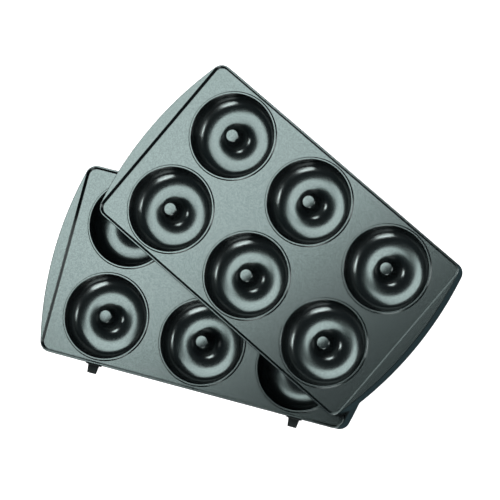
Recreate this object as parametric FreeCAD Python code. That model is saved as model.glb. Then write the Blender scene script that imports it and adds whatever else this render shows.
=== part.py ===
import FreeCAD, Part
import math
import os

from FreeCAD import Vector

# A pair of loose baking plates for ring doughnuts. Each plate is one die casting: a skirt, a
# raised flange, a shallow baking well and two rows of three ring cavities, each with a post.
# The upper plate lies flat on the lower one, turned and moved aside. Millimetres, +Z up.

# ---- driving dimensions of the casting ----
CAVITY_RADIUS = 30.0          # mouth of a ring cavity, so the doughnut is 60 across
COLUMNS = 3
ROWS = 2
COLUMN_PITCH = 72.6           # cavity to cavity along the plate
ROW_PITCH = 67.4              # cavity to cavity across the plate

PLATE_HEIGHT = 22.0           # skirt's bottom rim to the flange's top
HALF_WIDTH = 68.4             # centre line to the straight long side, at the flange's top
HALF_LENGTH = 121.5           # centre to the apex of the bowed short side
END_BOW_RADIUS = 255.0
CORNER_RADIUS = 8.0
SKIRT_DRAFT = 1.0             # degrees, the skirt draws in towards the bottom
FLANGE_EDGE_RADIUS = 0.5

WELL_DEPTH = 3.5              # flange's top down to the baking face
WELL_HALF_LENGTH = 112.0      # at the baking face
WELL_HALF_WIDTH = 66.1
WELL_CORNER_RADIUS = 5.5
WELL_DRAFT = 17.5             # degrees, the step's slope out of the vertical

WALL = 2.2                    # casting thickness of deck and cups
SKIRT_WALL = 2.0              # at the skirt's bottom rim
SKIRT_THICKENING = 0.65       # the hollow draws in by this much at its roof
HOLLOW_ROOF_RADIUS = 2.0

# ---- one cavity ----
LIP_HEIGHT = 1.3              # raised lip round the mouth, above the baking face
LIP_TOP_WIDTH = 1.1
LIP_SLOPE = 27.0              # degrees out of the vertical, the lip's outer side
LIP_EDGE_RADIUS = 0.25
CAVITY_DEPTH = 16.0           # lip's top down to the bottom of the ring
CAVITY_DRAFT = 6.0            # degrees, both walls
RING_RADIUS = 17.0            # the ring's lowest line, from the post's axis
FLOOR_RADIUS = 22.0           # the gentle round of the ring's floor
FLOOR_SPREAD = 13.0           # degrees of it on each side of the lowest line
POST_RADIUS = 4.5             # at the level of the lip's top
POST_RISE = 0.8               # the post's tip stands this far above the lip
POST_EDGE_RADIUS = 0.5

# ---- stiffening ribs under the deck ----
RIB_WIDTH = 2.0
RIB_BOTTOM = 7.0              # height of a rib's lower edge above the skirt's rim

# ---- lugs on one long side of the lower plate ----
LUG_OFFSET = 75.4             # each side of the plate's middle
LUG_LEVEL = 6.0               # above the skirt's rim
LUG_REACH = 75.1              # centre line to the lug's tip
LUG_ROOT_WIDTH = 7.7
LUG_TIP_WIDTH = 6.0
LUG_THICKNESS = 3.2
LUG_CORNER_RADIUS = 1.4
LUG_EDGE_RADIUS = 0.3
PAD_FACE = 69.1               # centre line to the outer face of the lug's pad
PAD_WIDTH = 10.6
PAD_HEIGHT = 7.0
PAD_CORNER_RADIUS = 1.5
STEM_RADIUS = 2.0
STAKED_HEAD_RADIUS = 3.2
STAKED_HEAD_FACE = 64.7       # centre line to the inner face of the staked head

# ---- how the upper plate lies on the lower one ----
REST_GAP = 0.3                # clearance between the stacked plates
UPPER_SHIFT_X = 38.5          # from the lower plate's middle
UPPER_SHIFT_Y = 48.8
UPPER_TURN = -25.9            # degrees about +Z

MARGIN = 1.0                  # how far a cutting shape runs past the surface it leaves
PLUG_SHARE = 0.75             # the deck is bored to this share of the lip's width
NEAR = 1e-3                   # two places closer than this are the same place

DECK_TOP = PLATE_HEIGHT - WELL_DEPTH
DECK_BOTTOM = DECK_TOP - WALL
LIP_TOP = DECK_TOP + LIP_HEIGHT


def point(radius, height):
    """A point of a turned profile."""
    return Vector(radius, 0, height)


def tangent_of(angle):
    return math.tan(math.radians(angle))


def plate_outline(inset, height):
    """The plate's outline drawn in by inset: straight long sides, bowed ends, round corners."""
    side = HALF_WIDTH - inset
    apex = HALF_LENGTH - inset
    bow = END_BOW_RADIUS - inset
    corner = CORNER_RADIUS - inset
    bow_centre = HALF_LENGTH - END_BOW_RADIUS
    corner_y = HALF_WIDTH - CORNER_RADIUS
    corner_x = bow_centre + math.sqrt((END_BOW_RADIUS - CORNER_RADIUS) ** 2 - corner_y ** 2)
    bow_angle = math.atan2(corner_y, corner_x - bow_centre)
    middle_angle = (bow_angle + math.pi / 2) / 2

    def on_bow(angle, sign_x):
        return Vector(sign_x * (bow_centre + bow * math.cos(angle)), bow * math.sin(angle), height)

    def on_corner(angle, sign_x, sign_y):
        return Vector(sign_x * (corner_x + corner * math.cos(angle)),
                      sign_y * (corner_y + corner * math.sin(angle)), height)

    edges = [Part.Arc(on_bow(-bow_angle, 1), Vector(apex, 0, height), on_bow(bow_angle, 1)),
             Part.Arc(on_bow(bow_angle, 1), on_corner(middle_angle, 1, 1), Vector(corner_x, side, height)),
             Part.LineSegment(Vector(corner_x, side, height), Vector(-corner_x, side, height)),
             Part.Arc(Vector(-corner_x, side, height), on_corner(middle_angle, -1, 1), on_bow(bow_angle, -1)),
             Part.Arc(on_bow(bow_angle, -1), Vector(-apex, 0, height), on_bow(-bow_angle, -1)),
             Part.Arc(on_bow(-bow_angle, -1), on_corner(middle_angle, -1, -1), Vector(-corner_x, -side, height)),
             Part.LineSegment(Vector(-corner_x, -side, height), Vector(corner_x, -side, height)),
             Part.Arc(Vector(corner_x, -side, height), on_corner(middle_angle, 1, -1), on_bow(-bow_angle, 1))]
    return Part.Wire([edge.toShape() for edge in edges])


def rounded_rectangle(half_x, half_y, radius, height):
    """A closed outline with four equal round corners."""
    inner_x = half_x - radius
    inner_y = half_y - radius
    diagonal = radius * math.sqrt(0.5)
    corners = []
    for sign_x, sign_y in ((1, 1), (-1, 1), (-1, -1), (1, -1)):
        on_side = Vector(sign_x * half_x, sign_y * inner_y, height)
        on_end = Vector(sign_x * inner_x, sign_y * half_y, height)
        middle = Vector(sign_x * (inner_x + diagonal), sign_y * (inner_y + diagonal), height)
        corners.append((on_side, middle, on_end) if sign_x == sign_y else (on_end, middle, on_side))
    edges = []
    for corner, following in zip(corners, corners[1:] + corners[:1]):
        edges += [Part.Arc(*corner), Part.LineSegment(corner[2], following[0])]
    return Part.Wire([edge.toShape() for edge in edges])


def edges_at(shape, height):
    """The edges that lie wholly at one height."""
    return [edge for edge in shape.Edges
            if abs(edge.BoundBox.ZMin - height) < NEAR and abs(edge.BoundBox.ZMax - height) < NEAR]


def plate_block():
    """The casting's outside: the flange's top down to the skirt's rim, filled."""
    bottom = plate_outline(PLATE_HEIGHT * tangent_of(SKIRT_DRAFT), 0)
    block = Part.makeLoft([bottom, plate_outline(0, PLATE_HEIGHT)], True, True)
    return block.makeFillet(FLANGE_EDGE_RADIUS, edges_at(block, PLATE_HEIGHT) + edges_at(block, 0))


def baking_well():
    """The space of the shallow well above the baking face."""
    rise = WELL_DEPTH + MARGIN
    spread = rise * tangent_of(WELL_DRAFT)
    floor = rounded_rectangle(WELL_HALF_LENGTH, WELL_HALF_WIDTH, WELL_CORNER_RADIUS, DECK_TOP)
    mouth = rounded_rectangle(WELL_HALF_LENGTH + spread, WELL_HALF_WIDTH + spread,
                              WELL_CORNER_RADIUS + spread, DECK_TOP + rise)
    return Part.makeLoft([floor, mouth], True, True)


def under_hollow():
    """The space under the deck, inside the skirt."""
    rim_inset = PLATE_HEIGHT * tangent_of(SKIRT_DRAFT) + SKIRT_WALL
    roof = plate_outline(rim_inset + SKIRT_THICKENING, DECK_BOTTOM)
    rim = plate_outline(rim_inset - MARGIN * SKIRT_THICKENING / DECK_BOTTOM, -MARGIN)
    hollow = Part.makeLoft([rim, roof], True, True)
    return hollow.makeFillet(HOLLOW_ROOF_RADIUS, edges_at(hollow, DECK_BOTTOM))


def side_radius(width):
    """Radius of the round from the ring's floor to a wall whose top is this far to one side."""
    spread = math.radians(FLOOR_SPREAD)
    draft = math.radians(CAVITY_DRAFT)
    floor_rise = FLOOR_RADIUS * (1 - math.cos(spread))
    left_over = width - FLOOR_RADIUS * math.sin(spread) - (CAVITY_DEPTH - floor_rise) * math.tan(draft)
    return left_over / (math.cos(draft) - math.sin(spread)
                        - (math.cos(spread) - math.sin(draft)) * math.tan(draft))


def below(centre, radius, angle):
    """A point on a round, at an angle in degrees from straight down, positive outwards."""
    turn = math.radians(angle)
    return centre + point(radius * math.sin(turn), -radius * math.cos(turn))


def ring_rounds(growth):
    """The ring's three rounds from the post's wall to the outer wall, each as start, middle, end."""
    floor_centre = point(RING_RADIUS, LIP_TOP - CAVITY_DEPTH + FLOOR_RADIUS)
    wall_angle = 90 - CAVITY_DRAFT
    middle_angle = (FLOOR_SPREAD + wall_angle) / 2
    reach = FLOOR_RADIUS + growth
    rounds = [[below(floor_centre, reach, angle) for angle in (-FLOOR_SPREAD, 0, FLOOR_SPREAD)]]
    for side, width in ((-1, RING_RADIUS - POST_RADIUS), (1, CAVITY_RADIUS - RING_RADIUS)):
        radius = side_radius(width)
        centre = below(floor_centre, FLOOR_RADIUS - radius, side * FLOOR_SPREAD)
        arc = [below(centre, radius + growth, side * angle) for angle in (middle_angle, wall_angle)]
        if side < 0:
            rounds.insert(0, [arc[1], arc[0], rounds[0][0]])
        else:
            rounds.append([rounds[-1][2], arc[0], arc[1]])
    return rounds


def cup():
    """One ring cavity's metal, turned about its own axis: lip, ring, post and post's hollow."""
    slant = WALL / math.cos(math.radians(CAVITY_DRAFT))     # the wall measured level, across its draft

    post_top = LIP_TOP + POST_RISE
    post_edge = POST_RADIUS - POST_RISE * tangent_of(CAVITY_DRAFT)
    hollow_top = post_top - WALL
    hollow_edge = POST_RADIUS - slant + (LIP_TOP - hollow_top) * tangent_of(CAVITY_DRAFT)
    lip_outside = CAVITY_RADIUS + LIP_TOP_WIDTH
    in_deck = (DECK_TOP + DECK_BOTTOM) / 2
    lip_foot = lip_outside + (LIP_TOP - in_deck) * tangent_of(LIP_SLOPE)

    ring = ring_rounds(0)
    back = [rounds[::-1] for rounds in ring_rounds(WALL)[::-1]]
    outline = [[point(0, post_top), point(post_edge, post_top), ring[0][0]],
               [ring[2][2], point(CAVITY_RADIUS, LIP_TOP), point(lip_outside, LIP_TOP),
                point(lip_foot, in_deck), back[0][0]],
               [back[2][2], point(hollow_edge, hollow_top), point(0, hollow_top), point(0, post_top)]]
    post_side, lip_side, hollow_side = ([Part.makeLine(start, end) for start, end in zip(line, line[1:])]
                                        for line in outline)
    front_arcs, back_arcs = ([Part.Arc(*round_).toShape() for round_ in rounds] for rounds in (ring, back))
    profile = Part.Wire(post_side + front_arcs + lip_side + back_arcs + hollow_side)
    turned = Part.Face(profile).revolve(Vector(0, 0, 0), Vector(0, 0, 1), 360)
    rounded = turned.makeFillet(LIP_EDGE_RADIUS, edges_at(turned, LIP_TOP))
    return rounded.makeFillet(POST_EDGE_RADIUS, edges_at(rounded, post_top))


def cavity_centres():
    for column in range(COLUMNS):
        for row in range(ROWS):
            yield Vector((column - (COLUMNS - 1) / 2) * COLUMN_PITCH,
                         (row - (ROWS - 1) / 2) * ROW_PITCH, 0)


def ribs():
    """Ribs from skirt to skirt: one between the rows, and one between each two columns."""
    height = (DECK_TOP + DECK_BOTTOM) / 2 - RIB_BOTTOM
    rib_inset = PLATE_HEIGHT * tangent_of(SKIRT_DRAFT) + SKIRT_WALL / 2
    reach_x = HALF_LENGTH - rib_inset
    reach_y = HALF_WIDTH - rib_inset
    result = [Part.makeBox(2 * reach_x, RIB_WIDTH, height, Vector(-reach_x, -RIB_WIDTH / 2, RIB_BOTTOM))]
    for gap in range(COLUMNS - 1):
        middle = (gap - (COLUMNS - 2) / 2) * COLUMN_PITCH
        result.append(Part.makeBox(RIB_WIDTH, 2 * reach_y, height,
                                   Vector(middle - RIB_WIDTH / 2, -reach_y, RIB_BOTTOM)))
    return result


def casting():
    """One baking plate, a single solid, centred on its middle with the skirt's rim at height 0."""
    plug_radius = CAVITY_RADIUS + LIP_TOP_WIDTH * PLUG_SHARE     # ends inside the cup's own metal
    plug = Part.makeCylinder(plug_radius, WALL + 2 * MARGIN, Vector(0, 0, DECK_BOTTOM - MARGIN))
    shell = plate_block().cut(baking_well()).cut(under_hollow())
    shell = shell.cut([plug.translated(centre) for centre in cavity_centres()])
    one_cup = cup()
    cups = [one_cup.translated(centre) for centre in cavity_centres()]
    return shell.fuse(cups + ribs()).removeSplitter()


def lug_stem(start, end, radius):
    """A round bar across the skirt, between two distances from the centre line."""
    return Part.makeCylinder(radius, start - end, Vector(0, -start, LUG_LEVEL), Vector(0, 1, 0))


def edges_beyond(shape, reach):
    """The edges that lie wholly at one distance from the centre line, on the lugs' side."""
    return [edge for edge in shape.Edges if edge.BoundBox.YMax < -reach + NEAR]


def lug_blank():
    """A locating lug before it is trimmed to the skirt: pad, tapered tab, stem and staked head."""
    pad_start = HALF_WIDTH - 2 * SKIRT_WALL
    pad_face = rounded_rectangle(PAD_WIDTH / 2, PAD_HEIGHT / 2, PAD_CORNER_RADIUS, 0)
    pad = Part.Face(pad_face).extrude(Vector(0, 0, PAD_FACE - pad_start))
    pad.rotate(Vector(0, 0, 0), Vector(1, 0, 0), 90)
    pad.translate(Vector(0, -pad_start, LUG_LEVEL))
    pad = pad.makeFillet(LUG_EDGE_RADIUS, edges_beyond(pad, PAD_FACE))

    base = LUG_LEVEL - LUG_THICKNESS / 2
    tab_start = PAD_FACE - MARGIN / 2
    corners = [Vector(sign * width / 2, -reach, base)
               for sign, width, reach in ((-1, LUG_ROOT_WIDTH, tab_start), (-1, LUG_TIP_WIDTH, LUG_REACH),
                                          (1, LUG_TIP_WIDTH, LUG_REACH), (1, LUG_ROOT_WIDTH, tab_start))]
    tab = Part.Face(Part.makePolygon(corners + corners[:1])).extrude(Vector(0, 0, LUG_THICKNESS))
    tip_corners = [edge for edge in edges_beyond(tab, LUG_REACH) if edge.BoundBox.ZLength > NEAR]
    tab = tab.makeFillet(LUG_CORNER_RADIUS, tip_corners)
    level_edges = [edge for edge in tab.Edges
                   if edge.BoundBox.ZLength < NEAR and edge.BoundBox.YMin < -tab_start - NEAR]
    return pad.fuse(tab.makeFillet(LUG_EDGE_RADIUS, level_edges))


def lug(plate):
    """The lug at the plate's middle, trimmed to the skirt, with its stem through the wall."""
    outside = lug_blank().cut(plate_block())
    stem = lug_stem(PAD_FACE - MARGIN / 2, STAKED_HEAD_FACE, STEM_RADIUS)
    head = lug_stem(HALF_WIDTH - SKIRT_WALL, STAKED_HEAD_FACE, STAKED_HEAD_RADIUS).cut(plate)
    return outside.fuse([stem, head]).removeSplitter()


def build():
    plate = casting()
    lower = plate.copy()
    lugs = {}
    for name, side in (("left_lug", -1), ("right_lug", 1)):
        spot = Vector(side * LUG_OFFSET, 0, 0)
        hole = lug_stem(HALF_WIDTH + MARGIN, STAKED_HEAD_FACE, STEM_RADIUS).translated(spot)
        lugs[name] = lug(plate.translated(-spot)).translated(spot)
        lower = lower.cut(hole)
    upper = plate.copy()
    upper.rotate(Vector(0, 0, 0), Vector(0, 0, 1), UPPER_TURN)
    upper.translate(Vector(UPPER_SHIFT_X, UPPER_SHIFT_Y, PLATE_HEIGHT + REST_GAP))
    return {"lower_plate": lower, "upper_plate": upper, **lugs}


def main():
    nodes = build()
    # The origin is under the middle of the pair, on the surface that it stands on.
    bound = Part.makeCompound(list(nodes.values())).optimalBoundingBox()
    origin = Vector(bound.Center.x, bound.Center.y, bound.ZMin)
    os.makedirs("parts", exist_ok=True)
    for name, shape in nodes.items():
        shape.translate(-origin)
        solids = len(shape.Solids)
        print(f"{name}: valid {shape.isValid()}, {solids} solid, {shape.Volume / 1000:.1f} cm3")
        shape.exportStep(f"parts/{name}.step")
    print(f"lower plate's middle: {-origin.x:.3f}, {-origin.y:.3f}")
    print(f"size: {bound.XLength:.2f} x {bound.YLength:.2f} x {bound.ZLength:.2f}")


main()
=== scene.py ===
import math

import bmesh
import bpy
from mathutils import Matrix, Vector


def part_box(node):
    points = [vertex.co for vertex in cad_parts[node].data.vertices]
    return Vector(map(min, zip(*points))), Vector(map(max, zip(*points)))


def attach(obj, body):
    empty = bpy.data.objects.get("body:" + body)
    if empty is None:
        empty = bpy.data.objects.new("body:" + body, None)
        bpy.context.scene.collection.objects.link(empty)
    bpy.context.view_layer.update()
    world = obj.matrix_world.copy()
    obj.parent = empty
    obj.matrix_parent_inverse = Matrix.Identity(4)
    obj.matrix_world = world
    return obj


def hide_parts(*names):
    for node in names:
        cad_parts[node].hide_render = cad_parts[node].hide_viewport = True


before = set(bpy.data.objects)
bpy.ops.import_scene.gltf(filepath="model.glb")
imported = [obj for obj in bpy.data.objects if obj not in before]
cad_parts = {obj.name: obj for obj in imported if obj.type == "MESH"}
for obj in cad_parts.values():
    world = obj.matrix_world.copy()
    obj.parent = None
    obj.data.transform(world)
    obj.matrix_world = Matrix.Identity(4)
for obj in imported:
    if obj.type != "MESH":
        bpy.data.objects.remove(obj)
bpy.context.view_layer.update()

# %% [markdown]
# Two loose baking plates for ring doughnuts lie one on the other. Each is a single aluminium die
# casting with a dark non-stick coating: a thin skirt, a raised flange, a shallow well and six ring
# cavities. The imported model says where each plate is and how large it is, so every place below is
# worked out from its boxes. The sizes within a casting are driving values, in millimetres.

# %% Where the plates are
MM = 0.001

lower_low, lower_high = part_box("lower_plate")
upper_low, upper_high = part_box("upper_plate")
lower_middle = (lower_low + lower_high) / 2
upper_middle = (upper_low + upper_high) / 2
half_length = (lower_high.x - lower_low.x) / 2
half_width = (lower_high.y - lower_low.y) / 2
plate_height = lower_high.z - lower_low.z
upper_turn = math.radians(-25.9)  # about the upright, from the lower plate

print("plate", round(2 * half_length / MM, 1), "x", round(2 * half_width / MM, 1),
      "x", round(plate_height / MM, 1), "mm")

# %% [markdown]
# Three helpers carry the modelling. One adds a circle primitive and puts its vertices on an outline.
# One extrudes that outline upwards, ring by ring, the way a drafted and rounded casting is drawn.
# One joins or cuts two solids with a Boolean modifier and applies it.

# %% Modelling helpers


def deselect():
    bpy.ops.object.select_all(action="DESELECT")


def activate(obj):
    deselect()
    obj.select_set(True)
    bpy.context.view_layer.objects.active = obj


def add_outline(name, points, fill="NGON"):
    """A circle primitive whose vertices are put on the points of a closed outline."""
    deselect()
    bpy.ops.mesh.primitive_circle_add(vertices=len(points), radius=0.01, fill_type=fill)
    obj = bpy.context.object
    obj.name = name
    for vertex, place in zip(obj.data.vertices, points):
        vertex.co = place
    return obj


def grid_key(place):
    """A point rounded to a micrometre, so that it can be found again."""
    return tuple(round(value * 1e6) for value in place)


def face_outwards(obj):
    activate(obj)
    bpy.ops.object.mode_set(mode="EDIT")
    bpy.ops.mesh.select_all(action="SELECT")
    bpy.ops.mesh.remove_doubles(threshold=1e-6)
    bpy.ops.mesh.normals_make_consistent(inside=False)
    bpy.ops.object.mode_set(mode="OBJECT")


def stack(name, rings):
    """A closed solid extruded from the first ring through each following ring."""
    obj = add_outline(name, rings[0])
    bpy.ops.object.mode_set(mode="EDIT")
    bpy.ops.mesh.select_all(action="SELECT")
    for start, end in zip(rings, rings[1:]):
        bpy.ops.mesh.extrude_region_move()
        moves = {grid_key(old): new for old, new in zip(start, end)}
        mesh = bmesh.from_edit_mesh(obj.data)
        for vertex in mesh.verts:
            if vertex.select:
                vertex.co = moves[grid_key(vertex.co)]
        bmesh.update_edit_mesh(obj.data)
    bpy.ops.object.mode_set(mode="OBJECT")
    face_outwards(obj)
    return obj


def combine(body, tool, operation):
    """Cuts the tool from the body, or joins the two, and removes the tool."""
    activate(body)
    modifier = body.modifiers.new(operation.title(), "BOOLEAN")
    modifier.operation = operation
    modifier.solver = "EXACT"
    modifier.object = tool
    bpy.ops.object.modifier_apply(modifier=modifier.name)
    bpy.data.objects.remove(tool)


def join(objects):
    """Several objects made one, with their meshes side by side."""
    deselect()
    for obj in objects:
        obj.select_set(True)
    bpy.context.view_layer.objects.active = objects[0]
    bpy.ops.object.join()
    return bpy.context.object


def at_each_cavity(obj):
    """The object repeated at every cavity's place, joined into one mesh."""
    copies = []
    for place in cavity_places:
        copy = obj.copy()
        copy.data = obj.data.copy()
        copy.data.transform(Matrix.Translation(place))
        bpy.context.collection.objects.link(copy)
        copies.append(copy)
    bpy.data.objects.remove(obj)
    return join(copies)


def arc(centre, radius, start, end, steps):
    """Points (across, up) on a round of a profile, from one angle to another in degrees."""
    turns = [math.radians(start + (end - start) * step / steps) for step in range(steps + 1)]
    return [(centre[0] + radius * math.cos(turn), centre[1] + radius * math.sin(turn)) for turn in turns]


# %% [markdown]
# The plate's outline has straight long sides, short sides bowed outwards, and round corners. An
# outline that is drawn in by some amount keeps the same centres with smaller rounds, so one function
# gives every level of the skirt. Its rounded edges are a few levels close together.

# %% The casting's outside
END_BOW = 255.0 * MM  # radius of the bowed short sides
CORNER = 8.0 * MM
SKIRT_DRAFT = math.tan(math.radians(1.0))  # the skirt draws in towards its bottom rim
EDGE_ROUND = 0.5 * MM
BOW_STEPS = 12
CORNER_STEPS = 10
EDGE_STEPS = 4


def plate_outline(inset, height):
    """Points of the outline drawn in by inset, anticlockwise, at one height."""
    bow_x = half_length - END_BOW
    corner_y = half_width - CORNER
    corner_x = bow_x + math.sqrt((END_BOW - CORNER) ** 2 - corner_y ** 2)
    meeting = math.degrees(math.atan2(corner_y, corner_x - bow_x))
    quarter = arc((bow_x, 0), END_BOW - inset, 0, meeting, BOW_STEPS)
    quarter += arc((corner_x, corner_y), CORNER - inset, meeting, 90, CORNER_STEPS)[1:]
    right = [(x, -y) for x, y in reversed(quarter[1:])] + quarter
    left = [(-x, -y) for x, y in right]
    return [Vector((x, y, height)) for x, y in right + left]


def rounded_rectangle(half_x, half_y, radius, height):
    """Points of a rectangle with round corners, anticlockwise, at one height."""
    points = []
    for quarter, (side_x, side_y) in enumerate(((1, 1), (-1, 1), (-1, -1), (1, -1))):
        centre = (side_x * (half_x - radius), side_y * (half_y - radius))
        points += arc(centre, radius, 90 * quarter, 90 * quarter + 90, CORNER_STEPS)
    return [Vector((x, y, height)) for x, y in points]


def edge_levels(radius, up):
    """(drawn in, distance from the face) down a rounded edge; up says which way the face looks."""
    levels = []
    for step in range(EDGE_STEPS + 1):
        turn = math.radians(90 * step / EDGE_STEPS)
        levels.append((radius * (1 - math.sin(turn)), radius * (1 - math.cos(turn))))
    return levels if up else levels[::-1]


skirt_inset = plate_height * SKIRT_DRAFT
levels = [(skirt_inset + drawn, depth) for drawn, depth in edge_levels(EDGE_ROUND, True)]
levels += [(drawn, plate_height - depth) for drawn, depth in edge_levels(EDGE_ROUND, False)]
casting = stack("casting", [plate_outline(inset, height) for inset, height in levels])
print("block:", len(casting.data.polygons), "faces")

# %% [markdown]
# The well is a shallow tray pressed into the flange's face, 3.5 mm deep with sloping sides. Its
# cutting solid flares over the flange so that the step's upper edge is slightly round. The hollow
# underneath leaves a skirt wall of about 2 mm and a deck of 2.2 mm.

# %% The well and the hollow under the deck
WELL_DEPTH = 3.5 * MM
WELL_HALF_LENGTH = 112.0 * MM
WELL_HALF_WIDTH = 66.1 * MM
WELL_CORNER = 5.5 * MM
WELL_SLOPE = math.tan(math.radians(17.5))
WELL_EDGE = 0.35 * MM
FLARE = [(-0.25, -0.8), (0.05, -0.35), (0.4, -0.08), (0.9, 0.02)]  # outwards and up, in widths of the edge
DECK = 2.2 * MM
SKIRT_WALL = 2.0 * MM
WALL_GROWTH = 0.65 * MM
ROOF_ROUND = 2.0 * MM
MARGIN = 1.0 * MM

deck_top = plate_height - WELL_DEPTH
deck_bottom = deck_top - DECK


def well_ring(spread, height):
    return rounded_rectangle(WELL_HALF_LENGTH + spread, WELL_HALF_WIDTH + spread,
                             WELL_CORNER + spread, height)


mouth = WELL_DEPTH * WELL_SLOPE
flare = [(mouth + outwards * WELL_EDGE, plate_height + up * WELL_EDGE) for outwards, up in FLARE]
rings = [well_ring(0, deck_top)] + [well_ring(spread, height) for spread, height in flare]
rings.append(well_ring(flare[-1][0], plate_height + MARGIN))
combine(casting, stack("well", rings), "DIFFERENCE")

rim_inset = skirt_inset + SKIRT_WALL
roof = [(rim_inset + WALL_GROWTH + drawn, deck_bottom - depth)
        for drawn, depth in edge_levels(ROOF_ROUND, False)]
rings = [plate_outline(rim_inset, -MARGIN)] + [plate_outline(inset, height) for inset, height in roof]
combine(casting, stack("hollow", rings), "DIFFERENCE")
print("shell:", len(casting.data.polygons), "faces")

# %% [markdown]
# A ring cavity is a turned shape, so its section is drawn once and spun round the post's axis: the
# post's flat tip, the steep inner wall, a gently curved floor with a tighter round on each side, the
# outer wall, and the thin raised lip whose outer side slopes down to the deck. The back of the section
# is the same line moved out by the casting's thickness.

# %% One cavity's section, spun
CAVITY = 30.0 * MM
POST = 4.5 * MM
POST_RISE = 0.8 * MM
POST_EDGE = 0.5 * MM
CAVITY_DEPTH = 16.0 * MM
CAVITY_DRAFT = math.radians(6.0)
RING_RADIUS = 17.0 * MM
FLOOR_ROUND = 22.0 * MM
FLOOR_SPREAD = math.radians(13.0)
LIP_HEIGHT = 1.3 * MM
LIP_WIDTH = 1.1 * MM
LIP_SLOPE = math.tan(math.radians(27.0))
LIP_EDGE = 0.25 * MM
COLUMN_PITCH = 72.6 * MM
ROW_PITCH = 67.4 * MM
SPIN_STEPS = 120
ROUND_STEPS = 5
FLOOR_STEPS = 12
SIDE_STEPS = 18

lip_top = deck_top + LIP_HEIGHT
post_top = lip_top + POST_RISE
cavity_places = [Vector((column * COLUMN_PITCH, row * ROW_PITCH / 2, 0))
                 for column in (-1, 0, 1) for row in (-1, 1)]


def rounded(points, radii):
    """A section whose corners are replaced by tangent rounds; a radius of 0 leaves a corner sharp."""
    result = []
    for index, radius in enumerate(radii):
        corner = Vector(points[index])
        before = (Vector(points[index - 1]) - corner).normalized()
        after = (Vector(points[(index + 1) % len(points)]) - corner).normalized()
        half = before.angle(after) / 2
        reach = radius / math.tan(half)
        centre = corner + (before + after).normalized() * (radius / math.sin(half))
        first, last = (math.degrees(math.atan2(*(corner + side * reach - centre).yx))
                       for side in (before, after))
        sweep = (last - first + 180) % 360 - 180
        result += arc(centre, radius, first, first + sweep, ROUND_STEPS) if radius else [tuple(corner)]
    return result


draft = math.tan(CAVITY_DRAFT)
ring_bottom = lip_top - CAVITY_DEPTH
wall_turn = math.pi / 2 - CAVITY_DRAFT


def side_round(width):
    """Radius of the round from the ring's gentle floor to a wall whose top is this far to one side."""
    floor_rise = FLOOR_ROUND * (1 - math.cos(FLOOR_SPREAD))
    left_over = width - FLOOR_ROUND * math.sin(FLOOR_SPREAD) - (CAVITY_DEPTH - floor_rise) * draft
    return left_over / (math.sin(wall_turn) - math.sin(FLOOR_SPREAD)
                        - (math.cos(FLOOR_SPREAD) - math.cos(wall_turn)) * draft)


def ring_face(growth):
    """The ring's floor and its two side rounds, from the post to the outer wall, moved out by growth."""
    spread = math.degrees(FLOOR_SPREAD)
    wall = math.degrees(wall_turn)
    line = arc((RING_RADIUS, ring_bottom + FLOOR_ROUND), FLOOR_ROUND + growth,
               270 - spread, 270 + spread, FLOOR_STEPS)
    for side, width in ((-1, RING_RADIUS - POST), (1, CAVITY - RING_RADIUS)):
        radius = side_round(width)
        reach = FLOOR_ROUND - radius
        centre = (RING_RADIUS + side * reach * math.sin(FLOOR_SPREAD),
                  ring_bottom + FLOOR_ROUND - reach * math.cos(FLOOR_SPREAD))
        turned = arc(centre, radius + growth, 270 + side * spread, 270 + side * wall, SIDE_STEPS)[1:]
        line = line + turned if side > 0 else turned[::-1] + line
    return line


slant = DECK / math.cos(CAVITY_DRAFT)
in_deck = (deck_top + deck_bottom) / 2
hollow_top = post_top - DECK
lip_foot = CAVITY + LIP_WIDTH + (lip_top - in_deck) * LIP_SLOPE

inner_face = ring_face(0)
outer_face = ring_face(DECK)[::-1]
post_side = POST - POST_RISE * draft
hollow_side = POST - slant + (lip_top - hollow_top) * draft
lip_and_back = rounded(
    [inner_face[-1], (CAVITY, lip_top), (CAVITY + LIP_WIDTH, lip_top), (lip_foot, in_deck)],
    [0, LIP_EDGE, LIP_EDGE, 0])
post = rounded([outer_face[-1], (hollow_side, hollow_top), (0, hollow_top), (0, post_top),
                (post_side, post_top), inner_face[0]], [0, LIP_EDGE, 0, 0, POST_EDGE, 0])
section = inner_face + lip_and_back[1:] + outer_face + post[1:-1]

cup = add_outline("cup", [Vector((across, 0, up)) for across, up in section], fill="NOTHING")
bpy.ops.object.mode_set(mode="EDIT")
bpy.ops.mesh.select_all(action="SELECT")
bpy.ops.mesh.spin(steps=SPIN_STEPS, angle=2 * math.pi, center=(0, 0, 0), axis=(0, 0, 1))
bpy.ops.object.mode_set(mode="OBJECT")
face_outwards(cup)
print("cup:", len(cup.data.polygons), "faces, side rounds",
      [round(side_round(width) / MM, 2) for width in (RING_RADIUS - POST, CAVITY - RING_RADIUS)], "mm")

# %% [markdown]
# The deck is bored where each cup goes, a little inside the cup's outer face, and the six cups are
# joined to it. Three ribs stiffen the deck from below. Their ends run into the skirt.

# %% Cups and ribs joined to the shell
RIB = 2.0 * MM
RIB_BOTTOM = 7.0 * MM
PLUG_SHARE = 0.75  # the deck is bored to this share of the lip's width

last_step = 360 - 360 / SPIN_STEPS
bore = arc((0, 0), CAVITY + PLUG_SHARE * LIP_WIDTH, 0, last_step, SPIN_STEPS - 1)
plug = stack("plug", [[Vector((x, y, height)) for x, y in bore]
                      for height in (deck_bottom - MARGIN, deck_top + MARGIN)])
combine(casting, at_each_cavity(plug), "DIFFERENCE")
combine(casting, at_each_cavity(cup), "UNION")


def add_bar(name, middle, size):
    """A straight bar from a cube primitive at its place, in metres."""
    deselect()
    bpy.ops.mesh.primitive_cube_add(size=1, location=middle)
    obj = bpy.context.object
    obj.name = name
    obj.scale = size
    bpy.ops.object.transform_apply(location=True, rotation=True, scale=True)
    return obj


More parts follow.
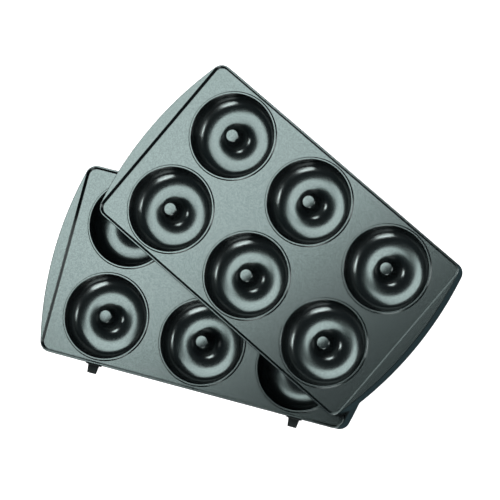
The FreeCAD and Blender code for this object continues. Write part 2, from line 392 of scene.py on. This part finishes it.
rib_reach = rim_inset - SKIRT_WALL / 2
rib_height = in_deck - RIB_BOTTOM
rib_middle = (in_deck + RIB_BOTTOM) / 2
long_rib = add_bar("rib", (0, 0, rib_middle), (2 * (half_length - rib_reach), RIB, rib_height))
combine(casting, long_rib, "UNION")
for side in (-1, 1):
    cross_rib = add_bar("rib", (side * COLUMN_PITCH / 2, 0, rib_middle),
                        (RIB, 2 * (half_width - rib_reach), rib_height))
    combine(casting, cross_rib, "UNION")
print("casting:", len(casting.data.polygons), "faces")

# %% [markdown]
# The rounds are already in the shape, so the shading only has to follow them. Edges sharper than
# about thirty degrees stay crisp. Weighted normals keep the large flat faces flat right up to a round.

# %% Shading of the casting
SHARP = math.radians(32)


def shade(obj):
    activate(obj)
    bpy.ops.object.shade_smooth_by_angle(angle=SHARP)
    modifier = obj.modifiers.new("weighted_normals", "WEIGHTED_NORMAL")
    modifier.keep_sharp = True
    modifier.weight = 100
    bpy.ops.object.modifier_apply(modifier=modifier.name)


shade(casting)

# %% [markdown]
# Both plates come out of one mould, so the lower plate is the casting put at its place, and the
# upper plate is a copy of the mesh, turned and lifted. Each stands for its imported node.

# %% The two plates
def place_plate(name, node, mesh, turn, middle, base):
    obj = bpy.data.objects.new(name, mesh)
    bpy.context.collection.objects.link(obj)
    obj.data.transform(Matrix.Translation((middle.x, middle.y, base)) @ Matrix.Rotation(turn, 4, "Z"))
    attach(obj, node)
    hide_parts(node)
    return obj


upper_plate = place_plate("upper_baking_plate", "upper_plate", casting.data.copy(), upper_turn,
                          upper_middle, upper_low.z)
lower_plate = place_plate("lower_baking_plate", "lower_plate", casting.data.copy(), 0.0,
                          lower_middle, lower_low.z)
bpy.data.objects.remove(casting)

# %% [markdown]
# The lower plate has two black steel lugs on one long side. Each is a forged tab with a pad that sits
# flat on the skirt, and a stem that is staked over inside. A bevel softens its edges.

# %% Lugs
LUG_ROOT = 7.7 * MM
LUG_TIP = 6.0 * MM
LUG_THICKNESS = 3.2 * MM
LUG_TIP_ROUND = 1.4 * MM
PAD_ROUND = 1.5 * MM
PAD_FACE = 69.1 * MM
STAKED_HEAD = 3.2 * MM  # radius of the head inside the skirt
STAKED_HEAD_EDGE = 0.6 * MM
LUG_EDGE = 0.3 * MM
CORNER_SEGMENTS = 6


def bevel_edges(obj, radius, choose, segments):
    """Rounds the edges whose two ends both pass the test."""
    activate(obj)
    bpy.ops.object.mode_set(mode="EDIT")
    bpy.ops.mesh.select_all(action="DESELECT")
    mesh = bmesh.from_edit_mesh(obj.data)
    for edge in mesh.edges:
        edge.select_set(choose(*(vertex.co for vertex in edge.verts)))
    bmesh.update_edit_mesh(obj.data)
    bpy.ops.mesh.bevel(offset=radius, segments=segments, affect="EDGES")
    bpy.ops.object.mode_set(mode="OBJECT")


def add_lug(name, node):
    low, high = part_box(node)
    middle = (low + high) / 2
    pad_y = lower_middle.y - PAD_FACE
    wall_y = lower_low.y + skirt_inset
    pad = add_bar(name, (middle.x, (pad_y + wall_y) / 2, middle.z),
                  (high.x - low.x, wall_y - pad_y, high.z - low.z))
    bevel_edges(pad, PAD_ROUND, lambda a, b: abs(a.y - b.y) > MM / 10, CORNER_SEGMENTS)
    root_y = pad_y + MM / 2
    tab = add_bar("tab", (middle.x, (low.y + root_y) / 2, middle.z),
                  (LUG_ROOT, root_y - low.y, LUG_THICKNESS))
    for vertex in tab.data.vertices:
        if vertex.co.y < (low.y + root_y) / 2:
            vertex.co.x = middle.x + (vertex.co.x - middle.x) * LUG_TIP / LUG_ROOT
    bevel_edges(tab, LUG_TIP_ROUND,
                lambda a, b: abs(a.z - b.z) > MM / 10 and a.y < (low.y + root_y) / 2, CORNER_SEGMENTS)
    combine(pad, tab, "UNION")
    bevel = pad.modifiers.new("soft_edges", "BEVEL")
    bevel.width = LUG_EDGE
    bevel.segments = 3
    bevel.limit_method = "ANGLE"
    bevel.angle_limit = math.radians(40)
    bpy.ops.object.modifier_apply(modifier=bevel.name)

    head_inside = high.y
    deselect()
    bpy.ops.mesh.primitive_cylinder_add(vertices=48, radius=STAKED_HEAD, depth=head_inside - wall_y,
                                        location=(middle.x, (head_inside + wall_y) / 2, middle.z),
                                        rotation=(math.pi / 2, 0, 0))
    head = bpy.context.object
    bpy.ops.object.transform_apply(location=True, rotation=True, scale=True)
    bevel_edges(head, STAKED_HEAD_EDGE, lambda a, b: min(a.y, b.y) > head_inside - MM / 10, 4)
    lug = join([pad, head])
    shade(lug)
    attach(lug, "lower_plate")
    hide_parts(node)
    return lug


lugs = [add_lug("left_locating_lug", "left_lug"), add_lug("right_locating_lug", "right_lug")]

# %% [markdown]
# One function adds a node with its settings and its links, and colours are sRGB hex values turned to
# linear ones.

# %% Material helpers


def linear(hex_colour):
    """An sRGB colour such as 9AA7A5 as the linear RGBA that a shader takes."""
    values = [int(hex_colour[i:i + 2], 16) / 255 for i in (0, 2, 4)]
    return [v / 12.92 if v <= 0.04045 else ((v + 0.055) / 1.055) ** 2.4 for v in values] + [1.0]


def add_node(tree, kind, settings=None, inputs=None):
    """A node with its settings, and its inputs set to values or linked from other nodes' outputs."""
    node = tree.nodes.new(kind)
    for name, value in (settings or {}).items():
        setattr(node, name, value)
    for name, value in (inputs or {}).items():
        if isinstance(value, bpy.types.NodeSocket):
            tree.links.new(value, node.inputs[name])
        else:
            node.inputs[name].default_value = value
    return node


def new_material(name):
    material = bpy.data.materials.new(name)
    material.use_nodes = True
    material.node_tree.nodes.clear()
    return material, material.node_tree


# %% [markdown]
# The castings wear a sprayed and baked fluoropolymer, almost black, semi-gloss, with fine dull flakes
# in it. It mirrors a large lamp softly, so flat faces look light grey and steep walls look black. The
# flakes mirror a little less and give the faces their grain. Real ones are under 0.1 mm, too fine to
# show, so they are drawn 0.9 mm apart. The lugs are blackened steel: oxide, duller than the coating,
# slightly mottled.

# %% Sprayed non-stick coating and blackened steel
FLAKE_SPACING = 0.9 * MM
MOTTLE_SPACING = 0.8 * MM


def nonstick_coating():
    material, tree = new_material("sprayed_nonstick_coating")
    place = add_node(tree, "ShaderNodeTexCoord").outputs["Object"]
    fleck = add_node(tree, "ShaderNodeTexNoise", inputs={"Vector": place, "Scale": 1 / FLAKE_SPACING,
                                                         "Detail": 3.0, "Roughness": 0.6})
    tone = add_node(tree, "ShaderNodeValToRGB", inputs={"Fac": fleck.outputs["Fac"]})
    tone.color_ramp.elements[0].color = linear("070B0C")
    tone.color_ramp.elements[1].color = linear("0E1415")
    flakes = add_node(tree, "ShaderNodeMapRange",
                      inputs={"Value": fleck.outputs["Fac"], "From Min": 0.4, "From Max": 0.6,
                              "To Min": 0.0, "To Max": 0.23})
    shader = add_node(tree, "ShaderNodeBsdfPrincipled",
                      inputs={"Base Color": tone.outputs["Color"], "Metallic": flakes.outputs["Result"],
                              "IOR": 1.6, "Roughness": 0.21})
    add_node(tree, "ShaderNodeOutputMaterial", inputs={"Surface": shader.outputs["BSDF"]})
    return material


def black_steel():
    material, tree = new_material("blackened_steel")
    place = add_node(tree, "ShaderNodeTexCoord").outputs["Object"]
    mottle = add_node(tree, "ShaderNodeTexNoise", inputs={"Vector": place, "Scale": 1 / MOTTLE_SPACING,
                                                          "Detail": 2.0})
    tone = add_node(tree, "ShaderNodeValToRGB", inputs={"Fac": mottle.outputs["Fac"]})
    tone.color_ramp.elements[0].color = linear("020203")
    tone.color_ramp.elements[1].color = linear("07080A")
    shader = add_node(tree, "ShaderNodeBsdfPrincipled",
                      inputs={"Base Color": tone.outputs["Color"], "Roughness": 0.55, "IOR": 1.3})
    add_node(tree, "ShaderNodeOutputMaterial", inputs={"Surface": shader.outputs["BSDF"]})
    return material


coating = nonstick_coating()
for plate in (upper_plate, lower_plate):
    plate.data.materials.clear()
    plate.data.materials.append(coating)
steel = black_steel()
for lug in lugs:
    lug.data.materials.clear()
    lug.data.materials.append(steel)

# %% [markdown]
# The camera looks down almost along the plates' normal, from far off with a long lens.

# %% Camera
CAMERA_DISTANCE = 2.4765
CAMERA_TILT = math.radians(13.68)
CAMERA_HEADING = math.radians(-11.96)
PICTURE_TURN = math.radians(14.46)
LENS = 253.66
CAMERA_AIM = Vector((-6.5 * MM, -3.8 * MM, plate_height))

towards = Vector((math.sin(CAMERA_TILT) * math.cos(CAMERA_HEADING),
                  math.sin(CAMERA_TILT) * math.sin(CAMERA_HEADING), math.cos(CAMERA_TILT)))
level = (Vector((1, 0, 0)) - towards * towards.x).normalized()
picture_right = level * math.cos(PICTURE_TURN) + towards.cross(level) * math.sin(PICTURE_TURN)
picture_up = towards.cross(picture_right)

camera = bpy.data.objects.new("camera", bpy.data.cameras.new("camera"))
bpy.context.collection.objects.link(camera)
camera.data.lens = LENS
camera.data.clip_end = 20.0
axes = Matrix((picture_right, picture_up, towards)).transposed().to_4x4()
camera.matrix_world = Matrix.Translation(CAMERA_AIM + towards * CAMERA_DISTANCE) @ axes
bpy.context.scene.camera = camera

# %% [markdown]
# A plain white floor that glows a little so that shadows stay faint, and a soft white surround. The
# large lamp overhead is what the flat faces and the ring floors mirror. The other two only show as
# soft spots on the steep walls. Lamp places and sizes are in metres, along the camera's own axes.

# %% Floor, surround and lamps
bpy.ops.mesh.primitive_plane_add(size=30, location=(0, 0, 0))
floor = bpy.context.object
floor.name = "floor"
white, tree = new_material("pale_floor")
matt = add_node(tree, "ShaderNodeBsdfDiffuse", inputs={"Color": linear("FAFAFA")})
lit = add_node(tree, "ShaderNodeEmission", inputs={"Color": linear("FFFFFF"), "Strength": 0.75})
both = add_node(tree, "ShaderNodeAddShader", inputs={0: matt.outputs["BSDF"], 1: lit.outputs["Emission"]})
add_node(tree, "ShaderNodeOutputMaterial", inputs={"Surface": both.outputs["Shader"]})
floor.data.materials.append(white)
floor.visible_glossy = False
floor.visible_diffuse = False

world = bpy.data.worlds.new("studio")
bpy.context.scene.world = world
world.use_nodes = True
world.node_tree.nodes.clear()
tree = world.node_tree
ray = add_node(tree, "ShaderNodeLightPath")
bright = add_node(tree, "ShaderNodeBackground", inputs={"Color": linear("FFFFFF"), "Strength": 1.3})
dim = add_node(tree, "ShaderNodeBackground", inputs={"Color": (0.047, 0.08, 0.09, 1), "Strength": 1.0})
mixed = add_node(tree, "ShaderNodeMixShader", inputs={"Fac": ray.outputs["Is Glossy Ray"]})
tree.links.new(bright.outputs[0], mixed.inputs[1])
tree.links.new(dim.outputs[0], mixed.inputs[2])
add_node(tree, "ShaderNodeOutputWorld", inputs={"Surface": mixed.outputs["Shader"]})


def in_picture(across, up, out):
    """A place or direction given along the picture's axes."""
    return picture_right * across + picture_up * up + towards * out


def add_lamp(name, way, distance, width, height, radiance, tint, shape="ELLIPSE", turn=0.0,
             lean=(0.0, 0.0), slope=(0.0, 0.0)):
    """An area lamp some way off, facing the plates, turned and leant about its own middle.

    The slope is how much brighter the lamp gets from one edge to the other, across and up.
    """
    lamp = bpy.data.lights.new(name, "AREA")
    lamp.shape = shape
    lamp.size = width
    lamp.size_y = height
    lamp.energy = radiance * math.pi * width * height
    lamp.color = linear(tint)[:3]
    lamp.use_nodes = True
    tree = lamp.node_tree
    tree.nodes.clear()
    spot = add_node(tree, "ShaderNodeNewGeometry").outputs["Parametric"]
    rise = add_node(tree, "ShaderNodeVectorMath", {"operation": "DOT_PRODUCT"}, {0: spot, 1: (*slope, 0.0)})
    level = add_node(tree, "ShaderNodeMath", {"operation": "ADD"},
                     {0: rise.outputs["Value"], 1: 1 - sum(slope) / 2})
    glow = add_node(tree, "ShaderNodeEmission", inputs={"Strength": level.outputs["Value"]})
    add_node(tree, "ShaderNodeOutputLight", inputs={"Surface": glow.outputs["Emission"]})
    obj = bpy.data.objects.new(name, lamp)
    bpy.context.collection.objects.link(obj)
    back = in_picture(*way).normalized()
    across = picture_up.cross(back).normalized()
    over = back.cross(across)
    back = (back + across * lean[0] + over * lean[1]).normalized()
    across = (across - back * across.dot(back)).normalized()
    over = back.cross(across)
    turned = across * math.cos(turn) + over * math.sin(turn)
    axes = Matrix((turned, back.cross(turned), back)).transposed().to_4x4()
    place = Vector((0, 0, plate_height)) + in_picture(*way).normalized() * distance
    obj.matrix_world = Matrix.Translation(place) @ axes
    obj.visible_camera = False
    obj.visible_diffuse = False
    return obj


add_lamp("overhead_softbox", (-0.452, 0.46, 0.764), 0.933, 0.654, 0.812, 8.9, "E6FFFC",
         shape="RECTANGLE", turn=0.516, lean=(-0.419, 0.317), slope=(-0.26, -0.38))
add_lamp("right_lamp", (0.80, -0.03, 0.60), 1.5, 1.2, 0.75, 15.0, "EFFFFD")
add_lamp("front_lamp", (-0.09, -0.84, 0.54), 1.5, 0.75, 1.2, 13.5, "EFFFFD")

bpy.context.scene.view_settings.view_transform = "Standard"
bpy.context.scene.view_settings.look = "None"
